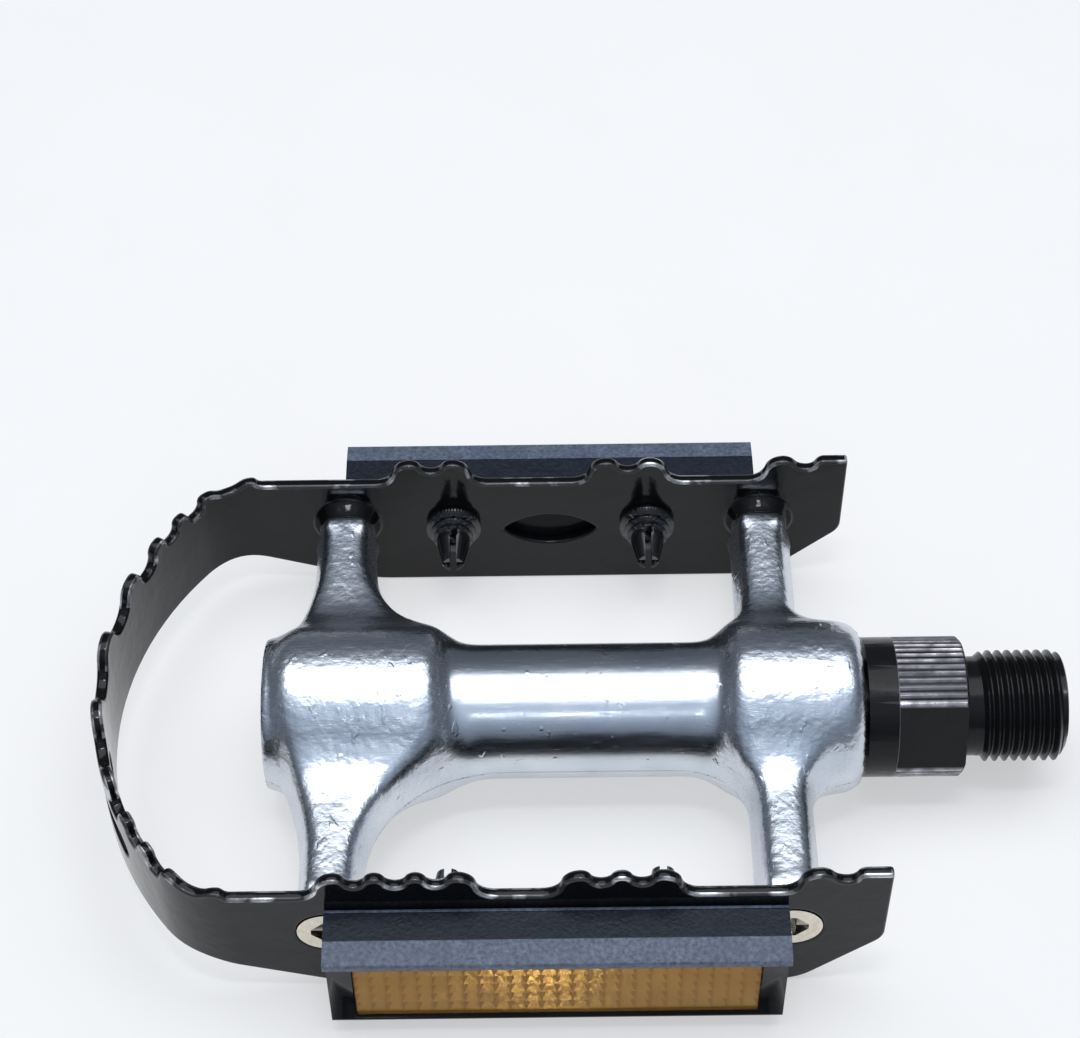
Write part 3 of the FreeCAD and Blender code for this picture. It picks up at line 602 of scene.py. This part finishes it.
def make_pane(low, high, front_y, outward):
    pane = bmesh.new()
    bmesh.ops.create_cube(pane, size=1.0)
    bmesh.ops.scale(pane, vec=(high.x - low.x, PANE, high.z - low.z), verts=pane.verts)
    middle = ((low.x + high.x) / 2, front_y - outward * PANE / 2, (low.z + high.z) / 2)
    bmesh.ops.translate(pane, vec=middle, verts=pane.verts)
    round_edges(pane, pane.edges[:], PANE_EDGE)
    return pane


def make_prisms(low, high, front_y, outward):
    width = high.x - low.x
    height = high.z - low.z
    sheet = bmesh.new()
    columns = round(width / CELL)
    rows = round(height / CELL)
    bmesh.ops.create_grid(sheet, x_segments=columns, y_segments=rows, size=0.5)
    bmesh.ops.scale(sheet, vec=(width, height, 1), verts=sheet.verts)
    rim = [edge for edge in sheet.edges if edge.is_boundary]
    bmesh.ops.poke(sheet, faces=sheet.faces[:], offset=-PRISM_DEPTH)
    back = bmesh.ops.extrude_edge_only(sheet, edges=rim)["geom"]
    depth = high.y - low.y - PANE - PANE_GAP
    back_verts = [item for item in back if isinstance(item, bmesh.types.BMVert)]
    bmesh.ops.translate(sheet, vec=(0, 0, -depth), verts=back_verts)
    bmesh.ops.edgeloop_fill(sheet, edges=[edge for edge in sheet.edges if edge.is_boundary])
    quarter_turn = Matrix.Rotation(math.radians(90), 3, "X")
    bmesh.ops.rotate(sheet, cent=(0, 0, 0), matrix=quarter_turn, verts=sheet.verts)
    if outward > 0:
        half_turn = Matrix.Rotation(math.radians(180), 3, "Z")
        bmesh.ops.rotate(sheet, cent=(0, 0, 0), matrix=half_turn, verts=sheet.verts)
    place = ((low.x + high.x) / 2, front_y - outward * (PANE + PANE_GAP), (low.z + high.z) / 2)
    bmesh.ops.translate(sheet, vec=place, verts=sheet.verts)
    bmesh.ops.recalc_face_normals(sheet, faces=sheet.faces)
    return sheet


def make_lens(side, outward):
    node = side + "_reflector_lens"
    low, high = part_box(node)
    front_y = low.y if outward < 0 else high.y
    prisms = piece_from(make_prisms(low, high, front_y, outward), side + "_lens_prisms", [amber_prisms],
                        "pedal_body", node)
    prisms.data.shade_flat()
    piece_from(make_pane(low, high, front_y, outward), side + "_lens_pane", [amber_pane],
               "pedal_body", node)


make_lens("front", -1)
make_lens("rear", 1)

# %% [markdown]
# ## Spindle and its thread
# The solid has a plain cylinder where the thread is. A thread could be faked with rings, but a real
# one climbs: one tooth of the thread is spun round the axis and moved along by a little at each
# step, which the spin operator does by itself. Both ends are then cut square, rounded off and
# filled.

# %% Spindle
THREAD_START = 2.0 * MM
THREAD_LEAD_IN = 0.7 * MM
THREAD_RADIUS = 7.145 * MM
THREAD_END_ROUND = 1.3 * MM
THREAD_PITCH = 1.27 * MM
THREAD_DEPTH = 0.72 * MM
THREAD_STEPS = 64
THREAD_CREST = 0.12
THREAD_LAP = 0.05 * MM
THREAD_JOIN = 0.01 * MM
SHAFT_FLAT_TURN = math.radians(0.5)
SPINDLE_CREASE = math.radians(22)
ON_FLUTE_END = 0.01 * MM


def make_thread(end_x):
    root = THREAD_RADIUS - THREAD_DEPTH
    flat = THREAD_CREST * THREAD_PITCH / 2
    middle = THREAD_PITCH / 2
    profile = [(0, root), (flat, root), (middle - flat, THREAD_RADIUS), (middle + flat, THREAD_RADIUS),
               (THREAD_PITCH - flat, root), (THREAD_PITCH, root)]
    turns = math.ceil((end_x - THREAD_START) / THREAD_PITCH) + 2
    work = bmesh.new()
    first_x = THREAD_START - THREAD_PITCH
    chain = [work.verts.new((first_x + along, 0, radius)) for along, radius in profile]
    edges = [work.edges.new(pair) for pair in zip(chain, chain[1:])]
    bmesh.ops.spin(work, geom=chain + edges, cent=(0, 0, 0), axis=(1, 0, 0),
                   dvec=(THREAD_PITCH / THREAD_STEPS, 0, 0), angle=2 * math.pi * turns,
                   steps=THREAD_STEPS * turns, use_merge=False)
    bmesh.ops.remove_doubles(work, verts=work.verts, dist=THREAD_JOIN)
    cut_all(work, (THREAD_START - 2 * THREAD_LAP, 0, 0), (-1, 0, 0), clear=True)
    cut_all(work, (end_x, 0, 0), (1, 0, 0), clear=True)
    for vert in work.verts:
        into_round = max(vert.co.x - (end_x - THREAD_END_ROUND), 0)
        rounding = math.sqrt(max(THREAD_END_ROUND ** 2 - into_round ** 2, 0))
        end_limit = THREAD_RADIUS - THREAD_END_ROUND + rounding
        start_limit = root + THREAD_DEPTH * max(vert.co.x - THREAD_START, 0) / THREAD_LEAD_IN
        limit = min(end_limit, start_limit)
        reach = math.hypot(vert.co.y, vert.co.z)
        if reach > limit:
            vert.co.yz = vert.co.yz * (limit / reach)
    bmesh.ops.edgeloop_fill(work, edges=[edge for edge in work.edges if edge.is_boundary])
    bmesh.ops.recalc_face_normals(work, faces=work.faces)
    return work


def make_shaft():
    work = merged_copy("spindle")
    cut_all(work, (THREAD_START - THREAD_LAP, 0, 0), (1, 0, 0), clear=True)
    bmesh.ops.edgeloop_fill(work, edges=[edge for edge in work.edges if edge.is_boundary])
    bmesh.ops.dissolve_limit(work, angle_limit=SHAFT_FLAT_TURN, verts=work.verts, edges=work.edges)
    return work


thread_end_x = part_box("spindle")[1].x
for name, work in (("spindle_shaft", make_shaft()), ("spindle_thread", make_thread(thread_end_x))):
    piece = piece_from(work, name, [blackened_steel], "spindle", "spindle")
    even_shading(piece, SPINDLE_CREASE)
    points = piece.data.vertices
    for edge in piece.data.edges:
        if all(abs(points[index].co.x - FLUTES_START) < ON_FLUTE_END for index in edge.vertices):
            edge.use_edge_sharp = True

# %% [markdown]
# ## Small pieces
# The screws are shaded again on a copy, with crisp cross slots in round heads. The bearing pieces,
# the seal and the cap are right as they are, so they keep their solids and take a finish.

# %% Screws and inner pieces
cross_screws = piece_from(merged_copy("cage_screws"), "cross_screws", [nickel_plate], "pedal_body",
                          "cage_screws")
even_shading(cross_screws, CREASE)
inner_finishes = {"dust_cap": glossy_plastic, "inboard_seal": seal_rubber}
for name, node in nodes.items():
    if not node.hide_render:
        node.material_slots[0].material = inner_finishes.get(name, bearing_steel)
print("solids that stay:", sum(not node.hide_render for node in nodes.values()))

# %% [markdown]
# ## Stage
# Polished metal shows its surroundings, so they are drawn with care. First comes a white floor.
# Lights alone would have to be strong to make it white, so it also glows a little towards the
# camera and in reflections, and it still keeps its shadow.

# %% Floor
FLOOR_SIZE = 12.0
FLOOR_GAP = 0.02 * MM
FLOOR_GLOW = 0.5


def make_floor():
    work = bmesh.new()
    bmesh.ops.create_grid(work, x_segments=1, y_segments=1, size=FLOOR_SIZE / 2)
    bmesh.ops.translate(work, vec=(0, 0, cad_box[0][2] - FLOOR_GAP), verts=work.verts)
    mesh = bpy.data.meshes.new("floor")
    work.to_mesh(mesh)
    work.free()
    made = bpy.data.objects.new("floor", mesh)
    scene.collection.objects.link(made)
    material, tree, shader, place = new_finish("pale_floor")
    mottle = grain(tree, place, 40, 2.0)
    colour = two_tone(tree, spread(tree, mottle, 0, 1), (0.90, 0.90, 0.90), (0.92, 0.92, 0.92))
    feed(tree, shader, Base_Color=colour, Roughness=0.9, Specular_IOR_Level=0.1)
    rays = tree.nodes.new("ShaderNodeLightPath")
    seen = figure(tree, "MAXIMUM", rays.outputs["Is Camera Ray"], rays.outputs["Is Glossy Ray"])
    seen = figure(tree, "MAXIMUM", seen, rays.outputs["Is Transmission Ray"])
    glow = add_node(tree, "Emission", Color=(1, 1, 1, 1), Strength=1.0)
    mix = add_node(tree, "MixShader", Fac=figure(tree, "MULTIPLY", seen, FLOOR_GLOW))
    tree.links.new(shader.outputs["BSDF"], mix.inputs[1])
    tree.links.new(glow.outputs["Emission"], mix.inputs[2])
    tree.links.new(mix.outputs["Shader"], tree.nodes["Material Output"].inputs["Surface"])
    mesh.materials.append(material)


make_floor()
print("floor at", round(cad_box[0][2] / MM, 2), "mm")

# %% [markdown]
# The room is dim near the horizon, and bluish and lighter above and in front. A broad soft light
# overhead makes the white bands along the bosses, a narrow one draws bright lines on the enamel
# edges, and a small one in front stands where the lens prisms mirror it.

# %% World and lights
ROOM_SHADES = [(0.0, (0.10, 0.11, 0.13)), (0.45, (0.13, 0.15, 0.18)), (0.75, (0.32, 0.37, 0.45)),
               (0.93, (0.56, 0.65, 0.78))]
ROOM_LIGHT_SIDE = (0, -0.34, 0.94)
MIDDLE = Vector((-50, 0, 0)) * MM


def make_world():
    world = bpy.data.worlds.new("room")
    world.use_nodes = True
    tree = world.node_tree
    direction = add_node(tree, "TexCoord").outputs["Generated"]
    towards = tree.nodes.new("ShaderNodeVectorMath")
    towards.operation = "DOT_PRODUCT"
    tree.links.new(direction, towards.inputs[0])
    towards.inputs[1].default_value = ROOM_LIGHT_SIDE
    ramp = add_node(tree, "ValToRGB", Fac=towards.outputs["Value"])
    stops = ramp.color_ramp.elements
    for index, (level, colour) in enumerate(ROOM_SHADES):
        stop = stops[index] if index < len(stops) else stops.new(level)
        stop.position = level
        stop.color = (*colour, 1)
    tree.links.new(ramp.outputs["Color"], tree.nodes["Background"].inputs["Color"])
    scene.world = world


def make_area_light(name, place, size, power):
    data = bpy.data.lights.new(name, "AREA")
    data.shape = "RECTANGLE"
    data.size, data.size_y = size
    data.energy = power
    light = bpy.data.objects.new(name, data)
    scene.collection.objects.link(light)
    away = (MIDDLE - Vector(place)).to_track_quat("-Z", "Y")
    light.matrix_world = Matrix.Translation(place) @ away.to_matrix().to_4x4()


make_world()
make_area_light("overhead", (-0.05, 0.11, 0.61), (0.9, 0.46), 2.6)
make_area_light("strip", (-0.05, -0.10, 0.60), (0.16, 0.05), 0.55)
make_area_light("sparkle", (-0.056, -0.3475, 0.3915), (0.016, 0.016), 0.03)
scene.view_settings.view_transform = "Standard"
print("stage ready")
